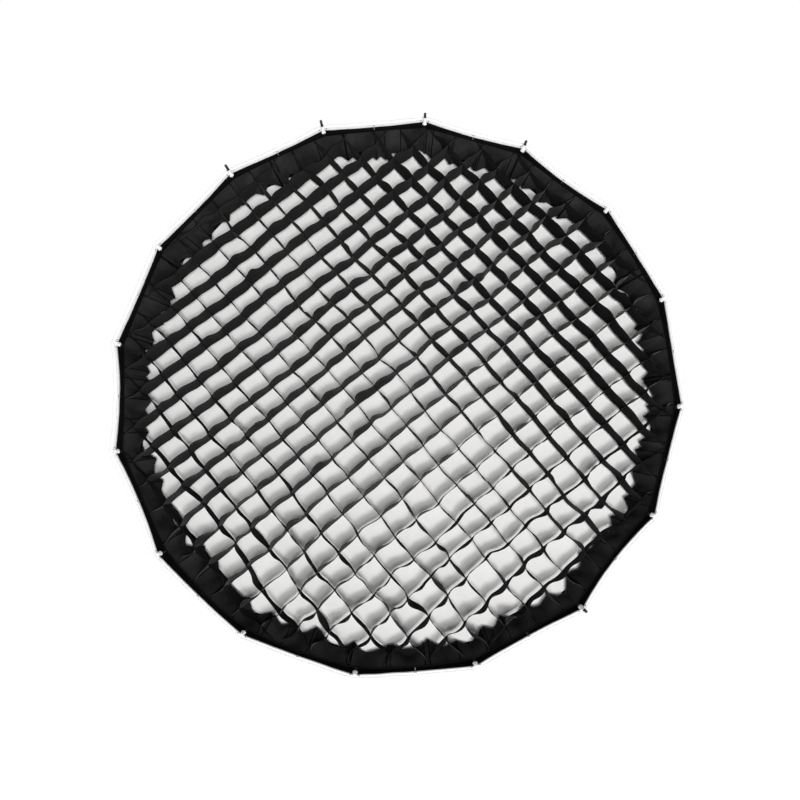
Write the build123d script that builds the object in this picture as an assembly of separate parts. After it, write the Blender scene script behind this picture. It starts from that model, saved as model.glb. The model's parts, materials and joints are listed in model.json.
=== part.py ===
"""Deep sixteen-rib softbox with a fabric grid, in millimetres and degrees.

Y is the optical axis. Light leaves towards -Y, and +Z is up. The origin is the centre of the
bayonet ring's rear seating face, where the box meets the light. Every rib, foot and shell panel
is drawn beside +X, with X as the radius, and then turned about Y to its place.
"""

from build123d import *
import math
import os

# Driving dimensions of the whole box
RIB_COUNT = 16
FIRST_RIB_ANGLE = 15.6  # rib 01, turned from +X towards +Z
RIM_RADIUS = 595.0  # centre line of a rib at the front rim
RIM_Y = -560.0
PIVOT_RADIUS = 80.0
PIVOT_Y = -30.0
RIB_BOW = 78.0  # how far a rib bows out from its straight chord

# Ribs and their feet
ROD_RADIUS = 2.0
ROD_START = 21.0  # along the rib, from the hinge pin
SOCKET_RADIUS = 2.05
SOCKET_START = 20.0
CAP_RADIUS = 3.0
CAP_BORE_RADIUS = 2.1
CAP_GRIP = 14.0  # length of rod inside the cap
CAP_REACH = 5.0  # how far a cap passes the rim
LOOSE_CAPS = {3: 24.0, 4: 24.0, 5: 28.0, 6: 28.0, 14: 22.0}  # ribs whose longer caps pass their pockets
FOOT_WIDTH = 10.0
FOOT_HALF_HEIGHT = 5.0
FOOT_LENGTH = 42.0
EYE_RADIUS = 6.0
TOOTH_RADIUS = 9.45
TOOTH_BACK = 8.7  # how far the latch tooth stands behind the pin

# Hinge pins
PIN_RADIUS = 2.0
PIN_SEAT_RADIUS = 2.01
EYE_BORE_RADIUS = 2.05
PIN_LENGTH = 20.6
PIN_SEAT_LENGTH = 21.0

# Shell
FABRIC = 1.2
PANEL_START = 46.0  # along the rib
PANEL_OFFSET = 3.2  # from the rib's centre line out to the lining
PANEL_GAP = 0.2  # from each panel's edge to the middle of its gore
SKIRT_OFFSET = 6.0
SKIRT_START = 15.0
SKIRT_END = 60.0
SKIRT_CLEARANCE = 0.3  # from the hub

# Hub
HUB_BORE_RADIUS = 60.0
HUB_RADIUS = 96.0
HUB_FRONT_Y = -46.0
HUB_REAR_Y = -8.0
BOSS_RADIUS = 76.0
SLOT_FLOOR_RADIUS = 72.8
SLOT_WIDTH = 11.0
SLOT_OVERCUT = 4.0  # past the hub's front face
STOP_OFFSET = 5.4  # the stop ramp, from the rib's centre line
STOP_SPAN = (5.0, 30.0)  # along the rib
TOOTH_ROOM = 9.8

# Bayonet ring
BAYONET_THICKNESS = 5.0
LIGHT_BORE_RADIUS = 49.0
LUG_COUNT = 3
LUG_ARC = 30.0
LUG_WALL = (50.0, 55.0)
LUG_LIP_RADIUS = 61.0
LUG_HEIGHT = 9.0
LUG_LIP_THICKNESS = 3.0

# Latch and release
LATCH_BAND = (96.6, 98.4)
LATCH_Y = (-23.2, -15.0)
FINGER_REACH = 84.0
FINGER_WIDTH = 7.0
FINGER_THICKNESS = 1.6
FINGER_SLIT = (83.2, 8.0)
FINGER_SLIT_Y = (-24.3, -15.5)
RELEASE_RING = (98.6, 104.0)
RELEASE_Y = (-24.0, -12.0)
TAB_REACH = 124.0
TAB_WIDTH = 26.0
TAB_Y = (-20.0, -15.0)
TAB_HOLE = (8.0, 14.0)
RELEASE_CHAMFER = 1.0

# Rear cover
COVER_RADII = (76.5, 95.5)
COVER_Y = (-8.0, -2.0)
COVER_WALL = 2.0
COVER_CHAMFER = 1.5

# Screws
SCREW_RADIUS = 2.0
SCREW_HOLE_RADIUS = 2.15
HEAD_RADIUS = 3.8
HEAD_DEPTH = 2.3
DRIVE_SIZE = 2.5
DRIVE_DEPTH = 1.6
SCREW_END_ROOM = 0.5
BAYONET_SCREWS = (4, 68.0, 0.0, 20.0)  # count, circle radius, head's Y, length
CLAMP_SCREWS = (8, 88.5, HUB_REAR_Y, 32.0)

# Front grid, front diffuser and inner diffuser
GRID_Y = (-556.0, -511.0)  # front edge and back edge
GRID_CLEARANCE = 6.0  # from the ribs' inner side
GRID_PITCH = 53.5
GRID_WALL = 1.2
GRID_BAND = 1.5
GRID_ANGLE = 40.5  # one family of walls, turned from +X towards +Z
DIFFUSER_CLEARANCE = 3.0  # beyond the slope of the rods that it hangs between
DIFFUSER_Y = -495.0
DIFFUSER_THICKNESS = 1.4
INNER_DIFFUSER_Y = -200.0

STEP_ANGLE = 360 / RIB_COUNT
HALF_GORE = STEP_ANGLE / 2
LONG = 400.0  # longer than any cut needs

# The rib's curve: one arc from the hinge pin to the rim
CHORD_R = RIM_RADIUS - PIVOT_RADIUS
CHORD_Y = RIM_Y - PIVOT_Y
CHORD = math.hypot(CHORD_R, CHORD_Y)
OUTWARD = (-CHORD_Y / CHORD, CHORD_R / CHORD)
BOW_RADIUS = CHORD**2 / (8 * RIB_BOW) + RIB_BOW / 2
CENTRE_R = (PIVOT_RADIUS + RIM_RADIUS) / 2 + OUTWARD[0] * (RIB_BOW - BOW_RADIUS)
CENTRE_Y = (PIVOT_Y + RIM_Y) / 2 + OUTWARD[1] * (RIB_BOW - BOW_RADIUS)
START_ANGLE = math.atan2(PIVOT_Y - CENTRE_Y, PIVOT_RADIUS - CENTRE_R)
RIB_LENGTH = BOW_RADIUS * 2 * math.asin(CHORD / 2 / BOW_RADIUS)


def rib_point(along, offset=0.0, squeeze=1.0):
    """A point of the rib's curve: radius and Y, offset outwards, with the radius times squeeze."""
    angle = START_ANGLE - along / BOW_RADIUS
    reach = BOW_RADIUS + offset
    return (CENTRE_R + reach * math.cos(angle)) * squeeze, CENTRE_Y + reach * math.sin(angle)


def rib_radius_at(y):
    """The radius of the rib's centre line where it passes a given Y."""
    return CENTRE_R + math.sqrt(BOW_RADIUS**2 - (y - CENTRE_Y) ** 2)


def rib_arc(start, end, offset=0.0, squeeze=1.0):
    """The rib's curve between two distances from its pin."""
    middle = (start + end) / 2
    return ThreePointArc(*(rib_point(along, offset, squeeze) for along in (start, middle, end)))


def strip_face(start, end, inner, outer, squeeze=1.0):
    """The face between two offsets of the rib's curve."""
    low = rib_arc(start, end, inner, squeeze)
    high = rib_arc(start, end, outer, squeeze)
    return make_face([low, high, Line(low @ 0, high @ 0), Line(low @ 1, high @ 1)])


def turned(shape, angle):
    """Turn a shape about Y, from +X towards +Z."""
    return Rot(0, -angle, 0) * shape


def rib_angle(index):
    return FIRST_RIB_ANGLE + STEP_ANGLE * index


def around(shape, count, first=0.0):
    """Copies of a shape, evenly spaced about Y."""
    return [turned(shape, first + 360 / count * index) for index in range(count)]


def ring(inner, outer, y_low, y_high):
    """A plain ring about Y."""
    face = Pos((inner + outer) / 2, (y_low + y_high) / 2) * Rectangle(outer - inner, y_high - y_low)
    return revolve(face, Axis.Y)


def block(x_low, x_high, y_low, y_high, width):
    """A box centred on the XY plane."""
    centre = Pos((x_low + x_high) / 2, (y_low + y_high) / 2, 0)
    return centre * Box(x_high - x_low, y_high - y_low, width)


def along_y(radius, y_low, y_high, x=0.0):
    """A cylinder whose axis is parallel to Y."""
    return Pos(x, (y_low + y_high) / 2, 0) * Rot(90, 0, 0) * Cylinder(radius, y_high - y_low)


def polygon_plate(corner_radius, y_low, y_high, front_radius=None):
    """A plate with a corner at each rib, straight or tapering to front_radius at y_low."""
    base = Plane(origin=(0, y_high, 0), x_dir=(1, 0, 0), z_dir=(0, -1, 0))
    outline = RegularPolygon(corner_radius, RIB_COUNT, rotation=FIRST_RIB_ANGLE)
    if front_radius is None:
        return extrude(base * outline, y_high - y_low)
    front = Plane(origin=(0, y_low, 0), x_dir=(1, 0, 0), z_dir=(0, -1, 0))
    front_outline = RegularPolygon(front_radius, RIB_COUNT, rotation=FIRST_RIB_ANGLE)
    return loft([base * outline, front * front_outline], ruled=True)


def make_rib(reach):
    """A curved rod and the moulded cap on its tip, as two solids."""
    path = rib_arc(ROD_START, RIB_LENGTH)
    section = Plane(origin=path @ 0, z_dir=path % 0) * Circle(ROD_RADIUS)
    rod = sweep(section, path=path)
    tip = Plane(origin=path @ 1, z_dir=path % 1)
    length = CAP_GRIP + reach
    body = Pos(0, 0, (reach - CAP_GRIP) / 2) * Cylinder(CAP_RADIUS, length)
    body = fillet(body.edges().group_by(Axis.Z)[-1], CAP_RADIUS / 2)
    bore = Pos(0, 0, -CAP_GRIP / 2) * Cylinder(CAP_BORE_RADIUS, CAP_GRIP)
    return [rod, tip * (body - bore)]


def make_foot():
    """The hinge block that holds a rod: an eye, an arm with a socket, and the latch tooth."""
    side = strip_face(0, FOOT_LENGTH, -FOOT_HALF_HEIGHT, FOOT_HALF_HEIGHT)
    arm = extrude(side, FOOT_WIDTH / 2, both=True)
    pivot = Pos(PIVOT_RADIUS, PIVOT_Y, 0)
    eye = pivot * Cylinder(EYE_RADIUS, FOOT_WIDTH)
    tooth_side = math.sqrt(TOOTH_RADIUS**2 - TOOTH_BACK**2)
    tooth = pivot * block(-tooth_side / 2, tooth_side, 0, TOOTH_BACK, FINGER_WIDTH)
    path = rib_arc(SOCKET_START, FOOT_LENGTH + 1)
    socket = sweep(Plane(origin=path @ 0, z_dir=path % 0) * Circle(SOCKET_RADIUS), path=path)
    bore = pivot * Cylinder(EYE_BORE_RADIUS, FOOT_WIDTH)
    return arm + eye + tooth - socket - bore


def make_panel():
    """A leaf of shell centred on its rib: half of the gore on either side, folded along the rib."""
    cosine = math.cos(math.radians(HALF_GORE))
    face = strip_face(PANEL_START, RIB_LENGTH, PANEL_OFFSET, PANEL_OFFSET + FABRIC, cosine)
    gore = turned(extrude(face, LONG, both=True), HALF_GORE)
    start = PANEL_GAP / math.sin(math.radians(HALF_GORE))
    far = 2 * LONG
    height = (far - start) * math.tan(math.radians(HALF_GORE))
    ground = Plane(origin=(0, 0, 0), x_dir=(1, 0, 0), z_dir=(0, -1, 0))
    outline = Polyline((start, 0), (far, 0), (far, height), close=True)
    wedge = extrude(ground * make_face(outline), 2 * LONG)
    half = gore & wedge
    return half + mirror(half, about=Plane.XY)


def rib_slot():
    """The room that a foot swings in, with a ramp at its back that stops the open rib."""
    ramp = [rib_point(along, STOP_OFFSET) for along in STOP_SPAN]
    front = HUB_FRONT_Y - SLOT_OVERCUT
    outline = Polyline(
        (SLOT_FLOOR_RADIUS, front),
        (SLOT_FLOOR_RADIUS, PIVOT_Y),
        (PIVOT_RADIUS, PIVOT_Y + EYE_RADIUS),
        *ramp,
        (ramp[-1][0], front),
        close=True,
    )
    swing = Pos(PIVOT_RADIUS, PIVOT_Y, 0) * Cylinder(TOOTH_ROOM, SLOT_WIDTH)
    floor = block(0, SLOT_FLOOR_RADIUS, -LONG, LONG, SLOT_WIDTH + 1)
    return extrude(make_face(outline), SLOT_WIDTH / 2, both=True) + (swing - floor)


def screw(head_y, length, circle_radius):
    """A countersunk screw with a hexagonal drive, its head's face at head_y."""
    shank = along_y(SCREW_RADIUS, head_y - length, head_y, circle_radius)
    cone = Pos(circle_radius, head_y - HEAD_DEPTH / 2, 0) * Rot(90, 0, 0)
    cone = cone * Cone(HEAD_RADIUS, SCREW_RADIUS, HEAD_DEPTH)
    drive = Plane(origin=(circle_radius, head_y, 0), z_dir=(0, -1, 0)) * RegularPolygon(DRIVE_SIZE / 2, 6)
    return shank + cone - extrude(drive, DRIVE_DEPTH)


def screw_room(head_y, length, circle_radius):
    """The hole for one screw, countersunk at its head."""
    hole = along_y(SCREW_HOLE_RADIUS, head_y - length - SCREW_END_ROOM, head_y, circle_radius)
    grow = SCREW_HOLE_RADIUS - SCREW_RADIUS
    cone = Pos(circle_radius, head_y - HEAD_DEPTH / 2, 0) * Rot(90, 0, 0)
    return hole + cone * Cone(HEAD_RADIUS + grow, SCREW_HOLE_RADIUS, HEAD_DEPTH)


def screw_set(maker, screws):
    """One circle of screws, or of their holes, between the ribs."""
    count, circle_radius, head_y, length = screws
    return around(maker(head_y, length, circle_radius), count, FIRST_RIB_ANGLE + HALF_GORE)


def make_housings():
    """The hub's front and rear halves, which meet at the pins' centres and clamp them."""
    cutters = around(rib_slot(), RIB_COUNT, FIRST_RIB_ANGLE)
    seat = Pos(PIVOT_RADIUS, PIVOT_Y, 0) * Cylinder(PIN_SEAT_RADIUS, PIN_SEAT_LENGTH)
    cutters += around(seat, RIB_COUNT, FIRST_RIB_ANGLE)
    cutters += screw_set(screw_room, CLAMP_SCREWS)
    front = ring(HUB_BORE_RADIUS, HUB_RADIUS, HUB_FRONT_Y, PIVOT_Y) - cutters
    rear = ring(HUB_BORE_RADIUS, HUB_RADIUS, PIVOT_Y, HUB_REAR_Y)
    rear += ring(HUB_BORE_RADIUS, BOSS_RADIUS, HUB_REAR_Y, -BAYONET_THICKNESS)
    slit = block(FINGER_SLIT[0], HUB_RADIUS + 2, *FINGER_SLIT_Y, FINGER_SLIT[1])
    cutters += around(slit, RIB_COUNT, FIRST_RIB_ANGLE)
    cutters += screw_set(screw_room, BAYONET_SCREWS)
    return front, rear - cutters


def make_bayonet_ring():
    """The steel ring that locks into the light: a flat seat and three hooked lugs."""
    plate = ring(LIGHT_BORE_RADIUS, BOSS_RADIUS, -BAYONET_THICKNESS, 0)
    wall = Pos(sum(LUG_WALL) / 2, LUG_HEIGHT / 2) * Rectangle(LUG_WALL[1] - LUG_WALL[0], LUG_HEIGHT)
    lip_centre = Pos((LUG_WALL[0] + LUG_LIP_RADIUS) / 2, LUG_HEIGHT - LUG_LIP_THICKNESS / 2)
    lip = lip_centre * Rectangle(LUG_LIP_RADIUS - LUG_WALL[0], LUG_LIP_THICKNESS)
    lug = revolve(wall + lip, Axis.Y, LUG_ARC)
    for copy in around(lug, LUG_COUNT):
        plate += copy
    return plate - screw_set(screw_room, BAYONET_SCREWS)


def make_rear_cover():
    """The moulded ring that hides the clamp screws: hollow in front, rounded behind."""
    outside = ring(*COVER_RADII, *COVER_Y)
    outside = chamfer(outside.edges().group_by(Axis.Y)[-1], COVER_CHAMFER)
    inner, outer = COVER_RADII
    return outside - ring(inner + COVER_WALL, outer - COVER_WALL, COVER_Y[0], COVER_Y[1] - COVER_WALL)


def make_release_ring():
    """The outer ring that is drawn back by its two tabs to free the ribs."""
    body = ring(*RELEASE_RING, *RELEASE_Y)
    body = chamfer(body.edges().group_by(Axis.Y)[-1], RELEASE_CHAMFER)
    tab = block(RELEASE_RING[0] + 2, TAB_REACH, *TAB_Y, TAB_WIDTH)
    tab = fillet(tab.edges().filter_by(Axis.Y).group_by(Axis.X)[-1], TAB_WIDTH / 4)
    hole_x = TAB_REACH - TAB_HOLE[0]
    tab -= block(hole_x - TAB_HOLE[0] / 2, hole_x + TAB_HOLE[0] / 2, *RELEASE_Y, TAB_HOLE[1])
    tab -= ring(0, RELEASE_RING[0] + 1, *RELEASE_Y)
    for copy in around(tab, 2, FIRST_RIB_ANGLE + HALF_GORE):
        body += copy
    return body


def make_latch_plate():
    """The spring-steel band with a finger for each foot's tooth."""
    plate = ring(*LATCH_BAND, *LATCH_Y)
    finger_top = LATCH_Y[0] + FINGER_THICKNESS
    finger = block(FINGER_REACH, sum(LATCH_BAND) / 2, LATCH_Y[0], finger_top, FINGER_WIDTH)
    for copy in around(finger, RIB_COUNT, FIRST_RIB_ANGLE):
        plate += copy
    return plate


def make_skirt():
    """The cloth cuff that closes the gap between the hub and the shell."""
    outer = SKIRT_OFFSET + FABRIC
    corners = [rib_point(SKIRT_START, SKIRT_OFFSET), rib_point(SKIRT_END, SKIRT_OFFSET)]
    corners += [rib_point(SKIRT_END, outer), rib_point(SKIRT_START, outer)]
    cuff = revolve(make_face(Polyline(*corners, close=True)), Axis.Y)
    return cuff - ring(0, HUB_RADIUS + SKIRT_CLEARANCE, 2 * PIVOT_Y, 0)


def make_front_grid():
    """The egg-crate: two crossing families of cloth walls inside a flared band."""
    front_y, back_y = GRID_Y
    front_radius, back_radius = (rib_radius_at(y) - GRID_CLEARANCE - ROD_RADIUS for y in GRID_Y)
    outside = polygon_plate(back_radius, front_y, back_y, front_radius)
    inside = polygon_plate(back_radius - GRID_BAND, front_y, back_y, front_radius - GRID_BAND)
    side_count = int(front_radius / GRID_PITCH)
    bars = Sketch()
    for step in range(-side_count, side_count + 1):
        bars += Rot(0, 0, GRID_ANGLE) * Pos(0, step * GRID_PITCH) * Rectangle(2 * front_radius, GRID_WALL)
        bars += Rot(0, 0, GRID_ANGLE) * Pos(step * GRID_PITCH, 0) * Rectangle(GRID_WALL, 2 * front_radius)
    back = Plane(origin=(0, back_y, 0), x_dir=(1, 0, 0), z_dir=(0, -1, 0))
    walls = extrude(back * bars, back_y - front_y) & inside
    return (outside - inside) + walls


def make_diffuser(y):
    """A stretched sheet of diffusion cloth that just clears the ribs."""
    radius = rib_radius_at(y) - 2 * ROD_RADIUS - DIFFUSER_CLEARANCE
    return polygon_plate(radius, y, y + DIFFUSER_THICKNESS)


def save(name, pieces):
    """Write one node: a shape, or a group of separate solids."""
    if isinstance(pieces, list):
        solids = [solid for piece in pieces for solid in piece.solids()]
        pieces = Compound(children=solids) if len(solids) > 1 else solids[0]
    export_step(pieces, f"parts/{name}.step")
    print(name, len(pieces.solids()), round(pieces.volume / 1000, 1), "cm3")


def main():
    os.makedirs("parts", exist_ok=True)
    foot = make_foot()
    panel = make_panel()
    ribs = {reach: make_rib(reach) for reach in {CAP_REACH, *LOOSE_CAPS.values()}}
    for index in range(RIB_COUNT):
        number = index + 1
        angle = rib_angle(index)
        rib = ribs[LOOSE_CAPS.get(number, CAP_REACH)]
        save(f"rib_{number:02d}", [turned(piece, angle) for piece in rib])
        save(f"rib_foot_{number:02d}", turned(foot, angle))
        save(f"shell_panel_{number:02d}", turned(panel, angle))
    front_housing, rear_housing = make_housings()
    save("hub_front_housing", front_housing)
    save("hub_rear_housing", rear_housing)
    pin = Pos(PIVOT_RADIUS, PIVOT_Y, 0) * Cylinder(PIN_RADIUS, PIN_LENGTH)
    save("hinge_pins", around(pin, RIB_COUNT, FIRST_RIB_ANGLE))
    save("bayonet_ring", make_bayonet_ring())
    save("hub_rear_cover", make_rear_cover())
    save("hub_screws", screw_set(screw, BAYONET_SCREWS) + screw_set(screw, CLAMP_SCREWS))
    save("release_ring", make_release_ring())
    save("latch_plate", make_latch_plate())
    save("rear_skirt", make_skirt())
    save("front_grid", make_front_grid())
    save("front_diffuser", make_diffuser(DIFFUSER_Y))
    save("inner_diffuser", make_diffuser(INNER_DIFFUSER_Y))


main()
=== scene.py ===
"""Looks of a deep sixteen-rib softbox with a fabric grid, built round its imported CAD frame, in metres.

Y is the optical axis, light leaves towards -Y, and +Z is up. A place on the shell is given by the
distance along a rib from its hinge pin, the share of the way to the middle of the gore, and an
offset outwards from the rods. A place in the grid is given in cells along and across its walls.
"""

import itertools
import json
import math

import bmesh
import bpy
import numpy as np
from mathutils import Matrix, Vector


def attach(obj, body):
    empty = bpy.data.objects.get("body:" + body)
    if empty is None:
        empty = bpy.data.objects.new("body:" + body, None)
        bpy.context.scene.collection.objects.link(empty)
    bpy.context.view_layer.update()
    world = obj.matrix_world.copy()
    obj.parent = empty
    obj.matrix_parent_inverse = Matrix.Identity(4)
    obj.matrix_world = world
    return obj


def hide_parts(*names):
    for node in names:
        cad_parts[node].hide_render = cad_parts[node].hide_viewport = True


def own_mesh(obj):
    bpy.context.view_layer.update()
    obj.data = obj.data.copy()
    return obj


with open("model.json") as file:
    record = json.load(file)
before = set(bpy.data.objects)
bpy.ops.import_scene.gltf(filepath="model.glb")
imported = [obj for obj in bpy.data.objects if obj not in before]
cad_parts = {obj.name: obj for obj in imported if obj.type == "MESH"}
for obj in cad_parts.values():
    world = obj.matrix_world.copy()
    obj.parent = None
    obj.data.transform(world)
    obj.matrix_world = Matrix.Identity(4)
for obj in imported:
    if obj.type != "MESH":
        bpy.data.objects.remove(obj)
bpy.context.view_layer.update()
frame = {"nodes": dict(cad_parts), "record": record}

# ---------------------------------------------------------------- sizes, as in the CAD model
RIBS = 16
STEP = 2 * math.pi / RIBS
HALF = STEP / 2
FIRST = math.radians(15.6)
RIM_RADIUS, RIM_Y = 0.595, -0.560
PIVOT_RADIUS, PIVOT_Y = 0.080, -0.030
FOLD = math.radians(46)
BOW = 0.078
ROD_RADIUS = 0.002
LINING_OFFSET, OUTER_OFFSET = 0.0032, 0.0044
PANEL_START = 0.046
SKIRT_SPAN, SKIRT_OFFSET, SKIRT_FLAT = (0.015, 0.060), 0.0066, (0.045, 0.80)
HUB_RADIUS = 0.0965
GRID_FRONT, GRID_BACK = -0.556, -0.511
PITCH = 0.0535
GRID_ANGLE = math.radians(40.5)
DIFFUSER_Y, INNER_DIFFUSER_Y = -0.495, -0.200
LONG_CAPS = (3, 4, 5, 6, 14)
# how far the rim is drawn in at the middle of each side, in mm, from the side before rib 01 on
DRAWN_IN = np.array([0, -1, 7.5, 5, 3, 2.5, 2.5, 2.5, 7, 5, -3, -2, -1.5, 3.5, 9, 2.5]) / 1000

chord_r, chord_y = RIM_RADIUS - PIVOT_RADIUS, RIM_Y - PIVOT_Y
chord = math.hypot(chord_r, chord_y)
bow_radius = chord**2 / (8 * BOW) + BOW / 2
centre_r = (PIVOT_RADIUS + RIM_RADIUS) / 2 - chord_y / chord * (BOW - bow_radius)
centre_y = (PIVOT_Y + RIM_Y) / 2 + chord_r / chord * (BOW - bow_radius)
start_angle = math.atan2(PIVOT_Y - centre_y, PIVOT_RADIUS - centre_r)
rib_length = bow_radius * 2 * math.asin(chord / 2 / bow_radius)
end_angle = start_angle - rib_length / bow_radius
TIP_OUT, TIP_FRONT = math.sin(end_angle), -math.cos(end_angle)  # a rib's direction at the rim

rng = np.random.default_rng(16)


def curve(along, offset=0.0):
    """Radius and Y of a rib's curve."""
    angle = start_angle - np.asarray(along, float) / bow_radius
    reach = bow_radius + offset
    return centre_r + reach * np.cos(angle), centre_y + reach * np.sin(angle)


def radius_at(y):
    """The radius of a rod's centre line where it passes y."""
    return centre_r + math.sqrt(bow_radius**2 - (y - centre_y) ** 2)


def along_at(y):
    """The distance along a rib where it passes y."""
    return (start_angle - math.asin((y - centre_y) / bow_radius)) * bow_radius


def rib_angle(index):
    return FIRST + STEP * index


def turned(points, angle):
    """Points turned about Y, from +X towards +Z."""
    x, y, z = np.moveaxis(np.asarray(points, float), -1, 0)
    c, s = math.cos(angle), math.sin(angle)
    return np.stack([x * c - z * s, y, x * s + z * c], -1)


HASH_PRIMES = (73856093, 19349663, 83492791)
SEED_PRIME, MIX_PRIME = 2654435761, 1274126177


def noise(points, size, seed=0):
    """Smooth noise from -1 to 1, with one random value per cube of that size."""
    p = np.asarray(points, float) / size
    base = np.floor(p).astype(np.int64)
    part = p - base
    part = part * part * (3 - 2 * part)
    total = np.zeros(p.shape[:-1])
    for corner in itertools.product((0, 1), repeat=3):
        cell = base + corner
        mixed = cell[..., 0] * HASH_PRIMES[0] ^ cell[..., 1] * HASH_PRIMES[1] ^ cell[..., 2] * HASH_PRIMES[2]
        mixed = mixed ^ seed * SEED_PRIME
        mixed = (mixed ^ (mixed >> 13)) * MIX_PRIME
        mixed = (mixed ^ (mixed >> 16)) & 0xFFFF
        weight = np.prod(np.where(corner, part, 1 - part), -1)
        total += weight * (mixed / 32767.5 - 1)
    return total


def smooth(x, low, high):
    """0 below low, 1 above high, and smooth between."""
    t = np.clip((x - low) / (high - low), 0, 1)
    return t * t * (3 - 2 * t)


def drawn(span, side, index):
    """How far the cloth lies inside the flat between two ribs, at a share of the rib's length."""
    share = np.abs(side)
    gore = np.where(np.asarray(side) > 0, DRAWN_IN[(index + 1) % RIBS], DRAWN_IN[index % RIBS])
    near_rim = smooth(span, 0.7, 1.0)
    middle = 0.003 * (1 - near_rim) + gore * near_rim + 0.013 * np.sin(math.pi * np.clip(span, 0, 1)) ** 1.4
    return middle * (1 - (1 - share) ** 2)


def drawn_round(span, angle):
    """The same at an angle round the box."""
    turn = np.mod(np.asarray(angle, float) - FIRST, 2 * math.pi) / STEP
    index = np.floor(turn + 0.5).astype(int)
    return drawn(span, (turn - index) * 2, index)


def rim_polygon(angle):
    """The share of the corner radius at which the sixteen-sided outline lies, at an angle."""
    part = np.mod(angle - FIRST, STEP) - HALF
    return math.cos(HALF) / np.cos(part)


def lining_radius(y, angle, clear):
    """How far a sheet across the box may reach: to the lining, with a notch round each rod."""
    from_rib = (HALF - np.abs(np.mod(angle - FIRST, STEP) - HALF)) * radius_at(y)
    reach = (radius_at(y) + LINING_OFFSET) * rim_polygon(angle) - drawn_round(along_at(y) / rib_length, angle)
    return reach - clear - (2 * ROD_RADIUS + LINING_OFFSET) * np.exp(-((from_rib / 0.010) ** 2))


# ---------------------------------------------------------------- meshes
class Shape:
    """Vertices, faces, material numbers and cloth coordinates of one object in the making."""

    def __init__(self):
        self.points, self.faces, self.slots, self.cloth, self.count = [], [], [], [], 0

    def add(self, points, faces, slots=0, cloth=None):
        points = np.asarray(points, float).reshape(-1, 3)
        faces = [tuple(int(i) + self.count for i in face) for face in faces]
        self.points.append(points)
        self.faces += faces
        self.slots += [slots] * len(faces) if np.isscalar(slots) else list(slots)
        self.cloth.append(np.zeros((len(points), 2)) if cloth is None else np.reshape(cloth, (-1, 2)))
        self.count += len(points)

    def slab(self, top, under, slots=(0, 0, 0), cloth=None):
        """A sheet with thickness, between two grids of points. slots are those of top, under and edge."""
        rows, columns = top.shape[:2]
        index = np.arange(rows * columns).reshape(rows, columns)
        quads = np.stack([index[:-1, :-1], index[1:, :-1], index[1:, 1:], index[:-1, 1:]], -1).reshape(-1, 4)
        border = np.concatenate([index[0, :], index[1:, -1], index[-1, -2::-1], index[-2::-1, 0]])
        shift = rows * columns
        edge = [(b, a, a + shift, b + shift) for a, b in zip(border[:-1], border[1:])]
        parts = [np.broadcast_to(np.asarray(s), (rows - 1, columns - 1)).ravel() for s in slots[:2]]
        faces = [*quads, *(quads[:, ::-1] + shift), *edge]
        numbers = [*parts[0], *parts[1], *[slots[2]] * len(edge)]
        if cloth is not None:
            cloth = np.concatenate([cloth.reshape(-1, 2)] * 2)
        self.add(np.concatenate([top.reshape(-1, 3), under.reshape(-1, 3)]), faces, numbers, cloth)

    def tube(self, rings, slot=0, closed=True, cloth=None):
        """A skin over rings of points, with capped ends."""
        count, around = rings.shape[:2]
        index = np.arange(count * around).reshape(count, around)
        after = np.roll(index, -1, 1)
        quads = np.stack([index[:-1], after[:-1], after[1:], index[1:]], -1).reshape(-1, 4)
        caps = [tuple(index[0][::-1]), tuple(index[-1])] if closed else []
        self.add(rings, [*quads, *caps], slot, cloth)

    def stitches(self, path, normals, slot, length=0.0032, gap=0.0014, width=0.0006, height=0.0004):
        """A row of stitches along a path, each a small bar that rises in its middle."""
        path, normals = np.asarray(path, float), np.asarray(normals, float)
        steps = np.concatenate([[0], np.cumsum(np.linalg.norm(np.diff(path, axis=0), axis=1))])
        total = steps[-1]
        count = int((total - gap) // (length + gap))
        if count < 1:
            return
        starts = gap + (total - gap - count * (length + gap)) / 2 + np.arange(count) * (length + gap)
        places = starts[:, None] + np.array([0, 0.22, 0.78, 1]) * length
        at = np.stack([np.interp(places, steps, path[:, k]) for k in range(3)], -1)
        up = np.stack([np.interp(places, steps, normals[:, k]) for k in range(3)], -1)
        up /= np.linalg.norm(up, axis=-1, keepdims=True)
        forward = at[:, -1:] - at[:, :1]
        side = np.cross(forward, up)
        side /= np.linalg.norm(side, axis=-1, keepdims=True)
        rise = np.array([0.1, 1, 1, 0.1])[None, :, None] * height
        wide = np.array([0.3, 1, 1, 0.3])[None, :, None] * width / 2
        shoulder = up * rise * 0.3
        left, right = at + side * wide + shoulder, at - side * wide + shoulder
        rings = np.stack([at + up * rise, left, at - up * 0.0002, right], 2)
        for ring in rings:
            self.tube(ring, slot)

    def make(self, name, materials, body):
        """The finished object, riding on its body."""
        mesh = bpy.data.meshes.new(name)
        points = np.concatenate(self.points)
        mesh.from_pydata(points.tolist(), [], self.faces)
        mesh.polygons.foreach_set("material_index", np.array(self.slots, np.int32))
        layer = mesh.uv_layers.new(name="cloth")
        corners = np.zeros(len(mesh.loops), np.int32)
        mesh.loops.foreach_get("vertex_index", corners)
        layer.data.foreach_set("uv", np.concatenate(self.cloth)[corners].astype(np.float32).ravel())
        for made in materials:
            mesh.materials.append(made)
        work = bmesh.new()
        work.from_mesh(mesh)
        bmesh.ops.recalc_face_normals(work, faces=work.faces)
        work.to_mesh(mesh)
        work.free()
        mesh.polygons.foreach_set("use_smooth", np.full(len(mesh.polygons), True))
        mesh.set_sharp_from_angle(angle=math.radians(50))
        made = bpy.data.objects.new(name, mesh)
        bpy.context.scene.collection.objects.link(made)
        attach(made, body)
        return made


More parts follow.
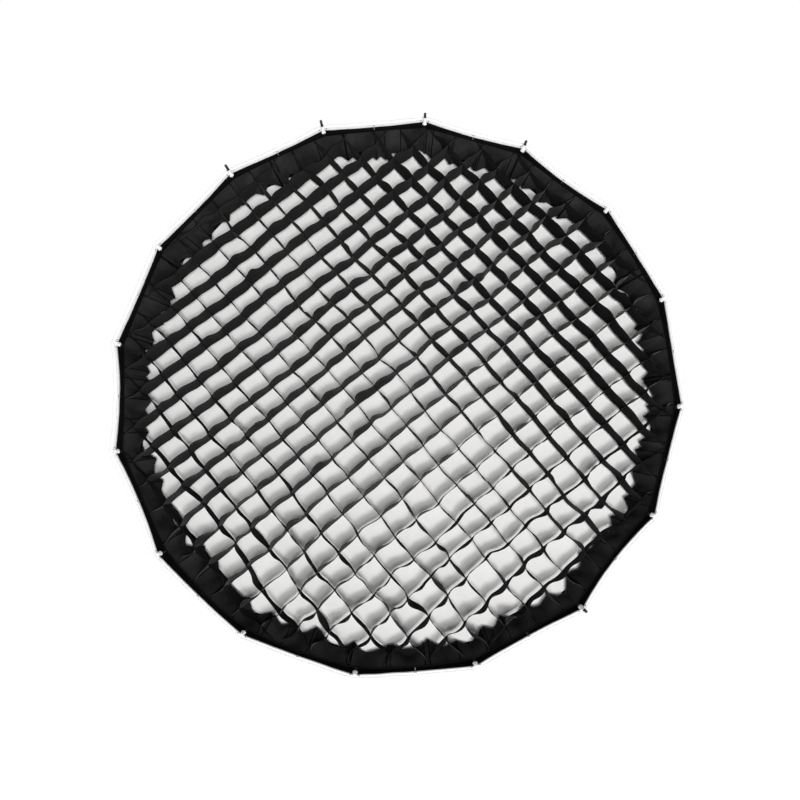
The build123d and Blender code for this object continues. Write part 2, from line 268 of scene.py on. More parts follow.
# ---------------------------------------------------------------- materials
class Paint:
    """A material in the making: its node tree, with short calls for nodes and links."""

    def __init__(self, name, roughness, **sockets):
        self.material = bpy.data.materials.new(name)
        self.material.use_nodes = True
        self.tree = self.material.node_tree
        self.shader = self.tree.nodes["Principled BSDF"]
        self.shader.inputs["Roughness"].default_value = roughness
        for key, value in sockets.items():
            self.shader.inputs[key.replace("_", " ").title().replace("Ior", "IOR")].default_value = value

    def node(self, kind, sockets=(), **settings):
        made = self.tree.nodes.new("ShaderNode" + kind)
        for key, value in settings.items():
            setattr(made, key, value)
        for key, value in dict(sockets).items():
            if isinstance(value, bpy.types.NodeSocket):
                self.tree.links.new(value, made.inputs[key])
            else:
                made.inputs[key].default_value = value
        return made

    def math(self, operation, a, b=0.0):
        return self.node("Math", {0: a, 1: b}, operation=operation).outputs[0]

    def place(self, cloth):
        """Cloth coordinates in metres, or the object's own."""
        if cloth:
            return self.node("UVMap", uv_map="cloth").outputs["UV"]
        return self.node("TexCoord").outputs["Object"]

    def speckle(self, where, size, detail=2.0):
        """Noise from 0 to 1 whose lumps are about that size in metres."""
        return self.node("TexNoise", {"Vector": where, "Scale": 1 / size, "Detail": detail}).outputs["Fac"]

    def ramp(self, value, low, high, start=0.3, end=0.7):
        """A colour between low and high as value goes from start to end."""
        made = self.node("ValToRGB", {"Fac": value})
        made.color_ramp.elements[0].position, made.color_ramp.elements[1].position = start, end
        made.color_ramp.elements[0].color = (*low, 1)
        made.color_ramp.elements[1].color = (*high, 1)
        return made.outputs["Color"]

    def weave(self, where, thread):
        """The height of a plain weave with that thread pitch, from 0 to 1."""
        heights = []
        for direction in ("X", "Y"):
            wave = self.node("TexWave", {"Vector": where, "Scale": 1 / thread / 2},
                             wave_type="BANDS", bands_direction=direction, wave_profile="SIN")
            heights.append(wave.outputs["Fac"])
        return self.math("MULTIPLY", heights[0], heights[1])

    def colour(self, socket):
        self.tree.links.new(socket, self.shader.inputs["Base Color"])

    def roughness(self, value, low, high):
        """Roughness that follows value."""
        made = self.node("MapRange", {"Value": value, "To Min": low, "To Max": high})
        self.tree.links.new(made.outputs["Result"], self.shader.inputs["Roughness"])

    def bump(self, height, depth):
        """Bump whose full height is depth in metres."""
        before = self.shader.inputs["Normal"]
        sockets = {"Height": height, "Distance": depth, "Strength": 1.0}
        if before.is_linked:
            sockets["Normal"] = before.links[0].from_socket
        made = self.node("Bump", sockets)
        self.tree.links.new(made.outputs["Normal"], self.shader.inputs["Normal"])


def cloth_paint(name, dark, light, roughness, thread, depth, sheen=0.0, patch=0.06, metallic=0.0, pebble=0.0,
                gloss=0.08):
    """A woven cloth: uneven colour, soft wear, a fine weave and, if pebbled, a lumpy coat."""
    paint = Paint(name, roughness, sheen_weight=sheen, sheen_roughness=0.3, metallic=metallic,
                  specular_ior_level=gloss)
    where = paint.place(True)
    broad = paint.speckle(where, patch, 3.0)
    fine = paint.speckle(where, thread * 3, 1.0)
    mixed = paint.math("ADD", paint.math("MULTIPLY", broad, 0.7), paint.math("MULTIPLY", fine, 0.3))
    paint.colour(paint.ramp(mixed, dark, light, 0.35, 0.65))
    paint.roughness(broad, roughness - 0.06, roughness + 0.06)
    paint.bump(paint.weave(where, thread), depth)
    if pebble:
        lumps = paint.node("TexVoronoi", {"Vector": where, "Scale": 1 / pebble}, feature="SMOOTH_F1")
        paint.bump(lumps.outputs["Distance"], pebble * 0.12)
    return paint.material


def moulded_paint(name, dark, light, roughness, grain=0.0009):
    """Moulded plastic: fine spark texture, broad unevenness, and rubbed patches that shine a little more."""
    paint = Paint(name, roughness, specular_ior_level=0.45)
    where = paint.place(False)
    broad = paint.speckle(where, 0.03, 3.0)
    paint.colour(paint.ramp(broad, dark, light, 0.35, 0.7))
    paint.roughness(paint.speckle(where, 0.012, 4.0), roughness - 0.12, roughness + 0.1)
    paint.bump(paint.speckle(where, grain, 1.0), 0.00008)
    return paint.material


def metal_paint(name, dark, light, roughness, stretch=(1, 1, 1), metallic=1.0, scratch=0.0006):
    """Brushed or drawn metal: streaks along one direction, faint stains and fine scratches."""
    paint = Paint(name, roughness, metallic=metallic)
    where = paint.place(False)
    streaks = paint.node("Mapping", {"Vector": where, "Scale": stretch}).outputs["Vector"]
    streak = paint.speckle(streaks, scratch, 3.0)
    stain = paint.speckle(where, 0.02, 4.0)
    mixed = paint.math("ADD", paint.math("MULTIPLY", streak, 0.45), paint.math("MULTIPLY", stain, 0.55))
    paint.colour(paint.ramp(mixed, dark, light, 0.35, 0.65))
    paint.roughness(mixed, roughness - 0.1, roughness + 0.12)
    paint.bump(streak, 0.00002)
    return paint.material


def rib_paint():
    """Black-oxide rod, with the moulded cap's duller black in front."""
    paint = Paint("rib_finish", 0.42, specular_ior_level=0.5)
    where = paint.place(False)
    depth = paint.node("SeparateXYZ", {"Vector": where}).outputs["Y"]
    cap = paint.math("LESS_THAN", depth, RIM_Y + 0.013)
    drawn_out = paint.node("Mapping", {"Vector": where, "Scale": (1, 0.15, 1)}).outputs["Vector"]
    wear = paint.speckle(drawn_out, 0.002, 4.0)
    rod = paint.ramp(wear, (0.035, 0.035, 0.037), (0.09, 0.088, 0.085), 0.45, 0.75)
    plastic = paint.ramp(paint.speckle(where, 0.004), (0.012, 0.012, 0.012), (0.02, 0.02, 0.021))
    paint.colour(paint.node("MixRGB", {"Fac": cap, "Color1": rod, "Color2": plastic}).outputs["Color"])
    paint.roughness(wear, 0.3, 0.55)
    paint.bump(paint.speckle(where, 0.0008, 1.0), 0.00003)
    return paint.material


shell_cloth = cloth_paint("shell_nylon", (0.006, 0.006, 0.0065), (0.011, 0.011, 0.012),
                          0.5, 0.0006, 0.00006, sheen=0.02, gloss=0.14)
lip_cloth = cloth_paint("lip_nylon", (0.0035, 0.0035, 0.0037), (0.006, 0.006, 0.0062),
                        0.7, 0.0006, 0.00006, gloss=0.02)
# The rows and the columns of the grid are one black cloth in two copies: painted light on the rows, which
# face the key lamp, and painted shade on the columns.
row_cloth_painted_light = cloth_paint("row_cloth_painted_light", (0.013, 0.013, 0.0132), (0.022, 0.022, 0.0224),
                         0.8, 0.0007, 0.00003, sheen=0.10, gloss=0.0)
column_cloth_painted_shade = cloth_paint("column_cloth_painted_shade", (0.0065, 0.0065, 0.0066), (0.0115, 0.0115, 0.0117),
                          0.8, 0.0007, 0.00003, sheen=0.04, gloss=0.0)
band_cloth = cloth_paint("band_cloth", (0.009, 0.009, 0.0092), (0.027, 0.027, 0.0275),
                         0.8, 0.0007, 0.00003, sheen=0.04, gloss=0.0)
border_cloth = cloth_paint("border_cloth", (0.004, 0.004, 0.0041), (0.006, 0.006, 0.0062),
                           0.8, 0.0009, 0.0001, gloss=0.01)
# A darker copy of the grid cloth: painted shade on every edge of the walls and of the band, and dark tape
# where a wall is sewn to the band.
hem_shade_and_seam_tape = cloth_paint("hem_shade_and_seam_tape", (0.0028, 0.0028, 0.0029), (0.0045, 0.0045, 0.0046),
                       0.8, 0.0007, 0.00005, gloss=0.0)
seam_tape = cloth_paint("seam_tape", (0.012, 0.012, 0.013), (0.024, 0.024, 0.025),
                        0.66, 0.0011, 0.0002, sheen=0.2)
white_cloth = cloth_paint("diffusion_cloth", (0.805, 0.80, 0.79), (0.845, 0.84, 0.83),
                          0.85, 0.0005, 0.00004, patch=0.12)
white_binding = cloth_paint("white_binding", (0.80, 0.80, 0.80), (0.85, 0.85, 0.85),
                            0.8, 0.0012, 0.0002, patch=0.02)
silver = cloth_paint("silver_lining", (0.60, 0.60, 0.61), (0.74, 0.74, 0.75),
                     0.36, 0.0008, 0.00005, patch=0.04, metallic=0.85, pebble=0.0022)
black_thread = cloth_paint("black_thread", (0.02, 0.02, 0.02), (0.035, 0.035, 0.035),
                           0.6, 0.0003, 0.0001, patch=0.01)
# A grey that stands for shade: painted shade on the binding's rolled edge where it turns in, and on the cord
# in the binding's groove.
painted_shade_grey = cloth_paint("painted_shade_grey", (0.50, 0.505, 0.50), (0.60, 0.605, 0.60),
                          0.7, 0.0003, 0.0001, patch=0.01)
white_thread = cloth_paint("white_thread", (0.62, 0.65, 0.61), (0.72, 0.75, 0.70),
                           0.7, 0.0003, 0.0001, patch=0.01)

CAD_FINISHES = {
    "hub_plastic": moulded_paint("hub_finish", (0.016, 0.016, 0.017), (0.026, 0.026, 0.028), 0.5),
    "release_plastic": moulded_paint("release_finish", (0.36, 0.022, 0.014), (0.5, 0.035, 0.02), 0.42),
    "steel": metal_paint("zinc_finish", (0.42, 0.42, 0.42), (0.62, 0.62, 0.61), 0.34),
    "bayonet_steel": metal_paint("bayonet_finish", (0.5, 0.5, 0.5), (0.7, 0.69, 0.67), 0.28, (1, 0.1, 1)),
    "spring_steel": metal_paint("spring_finish", (0.26, 0.26, 0.27), (0.4, 0.4, 0.42), 0.32, (0.2, 1, 0.2)),
    "rib_steel": rib_paint(),
    "foot_metal": metal_paint("foot_finish", (0.035, 0.035, 0.038), (0.07, 0.07, 0.075), 0.45, metallic=0.6),
}
for part in frame["record"]["subparts"]:
    finish = CAD_FINISHES.get(part["material_slot"])
    if finish:
        held = frame["nodes"][part["node"]].data.materials
        held.clear()
        held.append(finish)


# ---------------------------------------------------------------- the shell
def gore(along, side, offset, index):
    """Shell points of one rib's share of cloth; side goes from -1 to 1 between the middles of its gores."""
    along, side = np.broadcast_arrays(np.asarray(along, float), np.asarray(side, float))
    r, y = curve(along, offset)
    share = np.abs(side)
    span = along / rib_length
    pull = drawn(span, side, index)
    x = r * (1 - share * math.sin(HALF) ** 2) - pull * math.cos(HALF)
    z = side * (r * math.sin(HALF) * math.cos(HALF)) - np.sign(side) * pull * math.sin(HALF)
    points = turned(np.stack([x, y, z], -1), rib_angle(index))
    # creases: shallow tension folds across the gore, and puckers beside the seam on the rib
    angle = start_angle - along / bow_radius
    sideways = np.sign(side) * np.cos(angle) * math.sin(HALF)
    lean = turned(np.stack([np.cos(angle) * math.cos(HALF), np.sin(angle), sideways], -1), rib_angle(index))
    free = smooth(share, 0, 0.25) * smooth(span, 0.04, 0.14) * (1 - smooth(span, 0.94, 1.0))
    folds = 0.0016 * noise(points, 0.085, 3) + 0.0009 * noise(points * (1, 2.2, 1), 0.038, 4)
    pucker = 0.0006 * np.sin(along * 2 * math.pi / 0.017 + 2.5 * noise(points, 0.05, 5))
    pucker = pucker * np.exp(-share / 0.16) * smooth(share, 0.0, 0.05)
    return points + lean * (folds * free + pucker * smooth(span, 0.06, 0.1))[..., None]


lip_start = along_at(DIFFUSER_Y)
half_width = RIM_RADIUS * math.sin(HALF) * math.cos(HALF)
# where a leaf is divided, as shares of its rib
LENGTHS = (0.0, 0.13, 0.24, 0.36, 0.48, 0.60, 0.71, 0.81, 0.89, 0.95, 1.0)
LEAF_GAP = 0.0002  # half of the gap between two leaves in the middle of a gore
STITCH_INSET = 0.0035  # from the leaf's edge to its row of stitches
TAPE_HALF = 0.0065  # half of the seam tape's width
LOOP_HALF = 0.006  # half of a rod loop's length


def folded_share(along):
    """The width left to the gore at a place on the rib in the folded box, as a share of its open width."""
    r, y = curve(along)
    x = r * math.cos(HALF) ** 2 - drawn(along / rib_length, 1.0, 0)
    return float((PIVOT_RADIUS + (x - PIVOT_RADIUS) * math.cos(FOLD) + (y - PIVOT_Y) * math.sin(FOLD)) / x)


def leaf_length(index, place, rows):
    """One length of a leaf, and the share of its width that it keeps when folded.

    It is black outside, and silver inside up to the front diffuser, with a black lip in front of that.
    """
    shares = np.linspace(0, 1 - LEAF_GAP / half_width, 13) ** 0.85
    sides = np.concatenate([-shares[:0:-1], shares])
    a, b = np.meshgrid(rows, sides, indexing="ij")
    fold = 0.0006 * smooth(np.abs(b) * half_width, half_width - 0.007, half_width - 0.005)
    lining = np.where(rows[:-1, None] < lip_start - 1e-6, 1, 2) * np.ones((1, len(sides) - 1), int)
    shape = Shape()
    outside, inside = gore(a, b, OUTER_OFFSET + fold, index), gore(a, b, LINING_OFFSET, index)
    shape.slab(outside, inside, (0, lining, 0), np.stack([a, b * half_width], -1))
    row = np.linspace(max(rows[0], PANEL_START + 0.004), min(rows[-1], rib_length - 0.004), 40)
    for side in (-1, 1):
        at = side * (1 - STITCH_INSET / half_width * RIM_RADIUS / curve(row)[0])
        path = gore(row, at, OUTER_OFFSET + 0.0006, index)
        shape.stitches(path, gore(row, at, OUTER_OFFSET + 0.004, index) - path, 3)
    number = f"{index + 1:02d}"
    made = shape.make(f"shell_leaf_{number}_{place + 1}", [shell_cloth, silver, lip_cloth, black_thread],
                      f"rib_assembly_{number}")
    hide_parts(f"shell_panel_{number}")
    gathered = 1 - 0.08 * smooth(rows[0] / rib_length, 0.6, 0.8)  # a little narrower still near the rim
    return made, folded_share(rows[0] * 0.4 + rows[-1] * 0.6) * float(gathered)


def shell_leaf(index):
    """One rib's share of the shell, from mid-gore to mid-gore, in its lengths."""
    lip = np.linspace(lip_start, rib_length, 15)[1:]
    alongs = np.concatenate([np.linspace(PANEL_START, lip_start, 84), lip])
    cuts = [int(np.argmin(np.abs(alongs - share * rib_length))) for share in LENGTHS]
    spans = zip(cuts[:-1], cuts[1:])
    return [leaf_length(index, place, alongs[low:high + 1]) for place, (low, high) in enumerate(spans)]


def rib_seam(index):
    """The tape sewn over the shell along a rib, with two rows of stitches."""
    alongs = np.linspace(PANEL_START + 0.002, rib_length - 0.001, 150)
    across = np.array([-1, -0.8, -0.4, 0, 0.4, 0.8, 1.0]) * TAPE_HALF
    a, w = np.meshgrid(alongs, across, indexing="ij")
    r, y = curve(a, OUTER_OFFSET)
    n = start_angle - a / bow_radius
    rise = 0.0009 * (1 - (w / TAPE_HALF) ** 4) + 0.0001 * np.sin(a * 2 * math.pi / 0.013)
    wave = 0.0003 * noise(np.stack([a, w, np.full_like(a, index)], -1), 0.03, 7)

    def lifted(height):
        x = r - np.abs(w) * math.tan(HALF) + height * np.cos(n)
        return turned(np.stack([x, y + height * np.sin(n), w + wave], -1), rib_angle(index))

    shape = Shape()
    shape.slab(lifted(0.0003 + rise), lifted(np.full_like(a, -0.0002)), (0, 0, 0), np.stack([a, w], -1))
    for column in (1, 5):
        path = lifted(0.0003 + rise)[2:-2, column]
        up = lifted(0.004 + rise)[2:-2, column] - path
        shape.stitches(path, up, 1)
    number = f"{index + 1:02d}"
    shape.make(f"rib_seam_{number}", [seam_tape, black_thread], f"rib_assembly_{number}")


def rod_loops(index):
    """Four short loops of tape inside the shell, each round the rod."""
    shape = Shape()
    turn = np.linspace(0, 2 * math.pi, 13)[:-1]
    for at in np.linspace(0.2, 0.86, 4) * rib_length:
        rings = []
        for step in np.linspace(-LOOP_HALF, LOOP_HALF, 7):
            r, y = curve(at + step)
            n = start_angle - (at + step) / bow_radius
            body = 0.0029 + 0.0002 * math.cos(step / LOOP_HALF * math.pi / 2)
            up = body * np.cos(turn)
            x, yy, z = r + up * math.cos(n), y + up * math.sin(n), body * np.sin(turn) * 1.15
            rings.append(np.stack([x, yy, z], -1))
        cloth = np.stack(np.meshgrid(np.linspace(0, 0.012, 7), turn * 0.003, indexing="ij"), -1)
        shape.tube(turned(np.array(rings), rib_angle(index)), 0, True, cloth)
    number = f"{index + 1:02d}"
    shape.make(f"rod_loops_{number}", [seam_tape], f"rib_assembly_{number}")


# ---------------------------------------------------------------- the white binding and the corner pockets
BINDING = [  # across the binding outwards from the rim's edge, and how far it stands in front of the rim
    (-0.0010, -0.0022), (-0.0012, 0.0002), (-0.0004, 0.0015), (0.0008, 0.0021), (0.0020, 0.0018),
    (0.0028, 0.0009), (0.0034, -0.0002), (0.0046, -0.0002), (0.0054, 0.0009), (0.0074, 0.0014),
    (0.0094, 0.0013), (0.0110, 0.0010), (0.0119, 0.0003), (0.0120, -0.0004), (0.0112, -0.0010),
    (0.0060, -0.0014), (0.0015, -0.0020),
]
BINDING_RADIUS = 0.5993  # of the rim's edge, where a rib meets it
TURNED_IN = 3  # the profile's first sides, which turn in round the rim's edge
FRONT_HALF = [18, 20, 22, 0, 2, 4, 6]  # the points of a pocket's ring that face forwards


def binding_point(side, out, front, index):
    """A point of the binding: side as on the shell, out from the rim's edge, and in front of the rim."""
    side = np.asarray(side, float)
    radius = BINDING_RADIUS + np.asarray(out, float) / math.cos(HALF)
    share = np.abs(side)
    bend = -drawn(1.0, side, index)
    x = radius * (1 - share * math.sin(HALF) ** 2) + bend * math.cos(HALF)
    z = side * radius * math.sin(HALF) * math.cos(HALF) + np.sign(side) * bend * math.sin(HALF)
    y = RIM_Y - np.asarray(front, float) + 0 * x
    return turned(np.stack(np.broadcast_arrays(x, y, z), -1), rib_angle(index))


def binding(index):
    """The white edge binding along one rib's share of the rim: a rolled inner edge and a stitched flange."""
    sides = np.linspace(-1, 1, 59)
    profile = np.array(BINDING)
    rings = []
    for side in sides:
        middle = binding_point(side, 0.005, 0, index)
        sway = 0.0005 * noise(middle, 0.028, 11)
        lift = 0.0008 * noise(middle, 0.045, 12)
        grow = 1 + 0.07 * noise(middle, 0.035, 13)
        rings.append(binding_point(side, profile[:, 0] * grow + sway, profile[:, 1] + lift, index))
    rings = np.array(rings)
    shape = Shape()
    girth = np.linspace(0, 0.028, len(BINDING))
    lengths = sides * half_width
    # painted shade: the grey on the sides that turn in round the rim's edge
    rolled_edge_shade_slots = [3] * TURNED_IN + [0] * (len(BINDING) - TURNED_IN)  # greyer where it turns in
    cloth = np.stack(np.meshgrid(lengths, girth, indexing="ij"), -1)
    shape.tube(rings, [*rolled_edge_shade_slots * (len(sides) - 1), 0, 0], True, cloth)
    forward = np.tile([0, -1, 0], (len(sides), 1))
    # painted shade: a nearly continuous grey cord in the groove between the roll and the flange, where the
    # groove's shade lies
    cord = (rings[:, 6] + rings[:, 7]) / 2
    shape.stitches(cord, forward, 3, length=0.0052, gap=0.0003, width=0.0014, height=0.0006)
    shape.stitches(rings[:, 11], forward, 1, length=0.0030, gap=0.0016, width=0.0007, height=0.0005)
    for side in (-1, 1):  # a black bar of thread on either side of the pocket, and the gore seam's end
        for place, long in ((0.075, 0.0032), (0.987, 0.0028)):
            reach = long / half_width / 2
            at = np.linspace(side * (place - reach), side * (place + reach), 4)
            path = binding_point(at, 0.0004, 0.0022, index)
            shape.stitches(path, forward[:4], 2, length=long * 0.7, gap=0.0001, width=0.0022, height=0.0008)
    number = f"{index + 1:02d}"
    made = shape.make(f"rim_binding_{number}", [white_binding, white_thread, black_thread, painted_shade_grey],
                      f"rib_assembly_{number}")
    return made


def corner_pocket(index):
    """The white pocket that holds a rib's cap: closed over a short cap, open round a long one."""
    number = index + 1
    is_open = number in LONG_CAPS
    reach = 0.0135 if is_open else 0.0088
    turn = np.linspace(0, 2 * math.pi, 25)[:-1]
    stations = [(-0.0045, 0.9), (-0.003, 1.0), (0.001, 1.02), (0.005, 1.0)]
    stations += [(reach - 0.003, 0.97), (reach - 0.0012, 1.06), (reach, 1.04)] if is_open else [
        (reach - 0.0028, 0.93), (reach - 0.0008, 0.72), (reach + 0.0004, 0.38), (reach + 0.0007, 0.08)]

    def skin(scale):
        rings = []
        for along, size in stations:
            flat = 1 + 0.55 * smooth(-along, -0.004, 0.009)  # it widens where it is sewn to the rim
            out = (0.0036 * size * scale) * np.cos(turn)
            wide = (0.0038 * size * scale * flat) * np.sin(turn)
            x = RIM_RADIUS + TIP_OUT * along + out * -TIP_FRONT
            y = RIM_Y + TIP_FRONT * along + out * TIP_OUT
            rings.append(np.stack([x, y, wide], -1))
        return np.array(rings)

    shape = Shape()
    outer = turned(skin(1.0), rib_angle(index))
    cloth = np.stack(np.meshgrid(np.linspace(0, 0.02, len(stations)), turn * 0.0045, indexing="ij"), -1)
    if is_open:
        inner = turned(skin(0.86), rib_angle(index))
        shape.tube(np.concatenate([outer, inner[::-1]]), 0, False, np.concatenate([cloth, cloth[::-1]]))
        rows, around = outer.shape[:2]
        first, last = np.arange(around), np.arange(around) + (2 * rows - 1) * around
        brim = np.stack([np.roll(first, -1), first, last, np.roll(last, -1)], -1)
        shape.faces += [tuple(face) for face in brim.tolist()]
        shape.slots += [0] * around
    else:
        shape.tube(outer, 0, True, cloth)
    # a row of stitches round the pocket's base, seen from the front
    outward = (outer[1] - outer[1].mean(0))[FRONT_HALF]
    path = outer[1][FRONT_HALF] + outward * 0.02
    shape.stitches(path, outward, 1, length=0.0022, gap=0.001, width=0.0006, height=0.0004)
    name = f"corner_pocket_{number:02d}"
    shape.make(name, [white_binding, white_thread], f"rib_assembly_{number:02d}")


for rib in range(RIBS):
    for piece, keep in (*shell_leaf(rib), (binding(rib), 0.055)):
        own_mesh(piece)
    rib_seam(rib)
    rod_loops(rib)
    corner_pocket(rib)


# ---------------------------------------------------------------- the grid
A = np.array([math.cos(GRID_ANGLE), math.sin(GRID_ANGLE)])
B = np.array([-math.sin(GRID_ANGLE), math.cos(GRID_ANGLE)])
DEPTHS = np.array([0.0, 0.05, 0.11, 0.3, 0.5, 0.7, 0.89, 0.95, 1.0])  # rows of a wall, as shares of its depth
THICK = np.array([5, 6, 4, 3, 3, 3, 4, 6, 5]) / 10000  # half of its thickness there: thicker in the hems
WALL_DEPTH = 0.045
CELLS = 12
BAND_DEPTH, BAND_GIRTH = 0.05, 3.68
TENT_HALF, TENT_PULL = 0.030, 0.019  # half the width of a tent in the band, and how far a wall draws it in
SEAM_HALF = 0.0014  # half the width of the dark tape where a wall is sewn on
SAG, SAG_ANGLE, SAG_SPREAD = 0.010, math.radians(222), math.radians(9)  # where the band hangs inwards
bows = rng.normal(size=(2, 64, 64, 4))


def slack(u, v):
    """How loose the grid hangs: more towards the bottom and next to the rim."""
    height = (u * A[1] + v * B[1]) * PITCH
    out = np.hypot(u, v) * PITCH / RIM_RADIUS
    return 1 + 0.9 * smooth(-height, 0.15, 0.45) + 0.5 * smooth(out, 0.7, 1.0)


def lattice(u, v, depth):
    """X and Z of a place in the grid, given in cells: a regular lattice that drifts and hangs unevenly."""
    s, t = u / 10, v / 10
    du = 0.11 + 0.07 * s + 0.05 * t - 0.13 * t * t
    dv = 0.065 - 0.30 * t - 0.17 * s * s + 0.16 * t * t + 0.37 * t * (s * s + t * t)
    where = np.stack(np.broadcast_arrays(u, v, depth * 0.35), -1)
    loose = slack(u, v)
    du = du + loose * (0.07 * noise(where, 2.7, 21) + 0.05 * noise(where, 1.0, 22))
    du = du + 0.17 * noise(where, 0.9, 25) ** 5  # a few sharp kinks
    du = du + 0.05 * depth * (np.exp(-((u / 4) ** 2)) - np.exp(-(((u + 7) / 3) ** 2)))
    dv = dv + loose * (0.07 * noise(where, 2.7, 23) + 0.05 * noise(where, 1.0, 24))
    dv = dv + 0.17 * noise(where, 0.9, 26) ** 5
    return ((u + du)[..., None] * A + (v + dv)[..., None] * B) * PITCH


def bowed(u, v, depth, family):
    """A place on a wall, which bows in an S between its crossings; family 0 runs along A, and 1 along B."""
    run, line = (u, v) if family == 0 else (v, u)
    cell = np.floor(run).astype(int)
    part = run - cell
    rough = bows[family, cell % 64, np.round(line).astype(int) % 64]
    near, far = rough[..., 0:2], rough[..., 2:4]
    loose = slack(u, v)
    single = (0.0008, 0.0013)[family] * ((1 - depth) * near[..., 0] + depth * far[..., 0]) * loose
    swell = 0.0038 * (1 - 0.75 * smooth(v, 2, 8)) * (1 - 0.5 * smooth(-v, 3, 8)) * (1 - depth) * (family == 0)
    rough_double = (1 - depth) * near[..., 1] + depth * far[..., 1]
    double = (0.0015, 0.0007)[family] + (0.0008, 0.0005)[family] * rough_double
    double = double * (1 - 0.6 * depth) * loose
    shift = single * np.sin(math.pi * part) + double * np.sin(2 * math.pi * part)
    shift = shift + swell * (np.sin(math.pi * part**0.8) - 0.66)  # a row's front hem swells between crossings
    across = B if family == 0 else A
    return lattice(u, v, depth) + shift[..., None] * across


def band_rest(angle, depth):
    """The radius of the grid's outer band before its walls pull at it: rounder than the rim."""
    front, back = radius_at(GRID_FRONT) - 0.0035, radius_at(GRID_BACK) - 0.0030
    rounder = 0.5 * (1 - 0.7 * depth)
    round_off = rim_polygon(angle) * (1 - rounder) + math.cos(HALF) * rounder
    resting = (front + (back - front) * depth**1.3) * round_off
    return resting - drawn_round(1 - 0.08 * depth, angle)


def wall_ends():
    """Where each wall of both families meets the resting band, as angles."""
    found = []
    for family, line in itertools.product((0, 1), range(-CELLS, CELLS + 1)):
        run = np.linspace(-CELLS - 1, CELLS + 1, 600)
        fixed = np.full_like(run, line)
        u, v = (run, fixed) if family == 0 else (fixed, run)
        xz = bowed(u, v, np.full_like(run, 0.5), family)
        angle = np.arctan2(xz[:, 1], xz[:, 0])
        inside = np.hypot(*xz.T) < band_rest(angle, 0.5)
        if inside.sum() > 12:
            where = np.flatnonzero(inside)
            found += [angle[where[0]], angle[where[-1]]]
    return np.array(found)


ends = wall_ends()
end_pulls = rng.uniform(0.75, 1.2, len(ends))


def gaps_to_ends(angle):
    """How far along the band each angle is from the end of each wall."""
    return np.abs((angle[..., None] - ends + math.pi) % (2 * math.pi) - math.pi) * RIM_RADIUS


def band_radius(angle, depth):
    """The radius of the band: drawn in like a tent wherever a wall is sewn to it, and creased between."""
    angle, depth = np.broadcast_arrays(np.asarray(angle, float), np.asarray(depth, float))
    rest = band_rest(angle, depth)
    gap = gaps_to_ends(angle)
    tents = np.clip(1 - gap / TENT_HALF, 0, 1) ** 1.3 * end_pulls
    pull = (TENT_PULL + 0.003 * np.sin(angle)) * np.clip(tents.max(-1), 0, 1.3)
    ring = np.stack([np.cos(angle) * RIM_RADIUS, depth * 0.03, np.sin(angle) * RIM_RADIUS], -1)
    crease = 0.0090 * (np.abs(noise(ring, 0.040, 31)) - 0.1)
    sag = SAG * np.exp(-(((angle % (2 * math.pi)) - SAG_ANGLE) / SAG_SPREAD) ** 2)
    free = smooth(depth, 0.0, 0.75)
    return rest - free * (pull + crease) - sag * (0.35 + 0.65 * free) - 0.0015 * free


def grid_wall(family, line):
    """One cloth wall of the grid, from band to band, with hemmed edges."""
    run = np.linspace(-CELLS - 1.2, CELLS + 1.2, 900)
    rows = []
    spans = []
    for depth in DEPTHS:
        fixed, deep = np.full_like(run, line), np.full_like(run, depth)
        u, v = (run, fixed) if family == 0 else (fixed, run)
        xz = bowed(u, v, deep, family)
        inside = np.hypot(*xz.T) < band_radius(np.arctan2(xz[:, 1], xz[:, 0]), deep) - 0.0006
        if inside.sum() < 20:
            return
        where = np.flatnonzero(inside)
        spans.append((run[where[0]], run[where[-1]]))
    count = max(14, int((spans[0][1] - spans[0][0]) * 9))  # nine columns to a cell
    share = np.linspace(0, 1, count)
    for depth, (low, high) in zip(DEPTHS, spans):
        places = low + (high - low) * share
        fixed, deep = np.full_like(places, line), np.full_like(places, depth)
        u, v = (places, fixed) if family == 0 else (fixed, places)
        rows.append(bowed(u, v, deep, family))
    xz = np.array(rows)
    heading = np.gradient(xz, axis=1)
    heading /= np.linalg.norm(heading, axis=-1, keepdims=True)
    across = np.stack([-heading[..., 1], heading[..., 0]], -1) * THICK[:, None, None]
    ripple = np.stack(np.broadcast_arrays(xz[..., 0], DEPTHS[:, None], xz[..., 1]), -1)
    y = GRID_FRONT + (GRID_BACK - GRID_FRONT) * DEPTHS[:, None] + 0.0011 * noise(ripple, 0.05, 41)

    def side(sign):
        flat = xz + sign * across
        return np.stack([flat[..., 0], y, flat[..., 1]], -1)

    lengths = np.linalg.norm(np.diff(xz[4], axis=0), axis=1).sum()
    cloth = np.stack(np.meshgrid(DEPTHS * WALL_DEPTH, share * lengths, indexing="ij"), -1)
    shape = Shape()
    # every edge of the wall gets the darker hem copy, painted shade
    shape.slab(side(1), side(-1), (0, 0, 1), cloth)
    kind = "row" if family == 0 else "column"
    # painted light on the rows and painted shade on the columns: the lighter and the darker copy of one cloth
    cloths = [row_cloth_painted_light if family == 0 else column_cloth_painted_shade, hem_shade_and_seam_tape]
    made = shape.make(f"grid_{kind}_{line + CELLS + 1:02d}", cloths, "grid")
    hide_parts("front_grid")


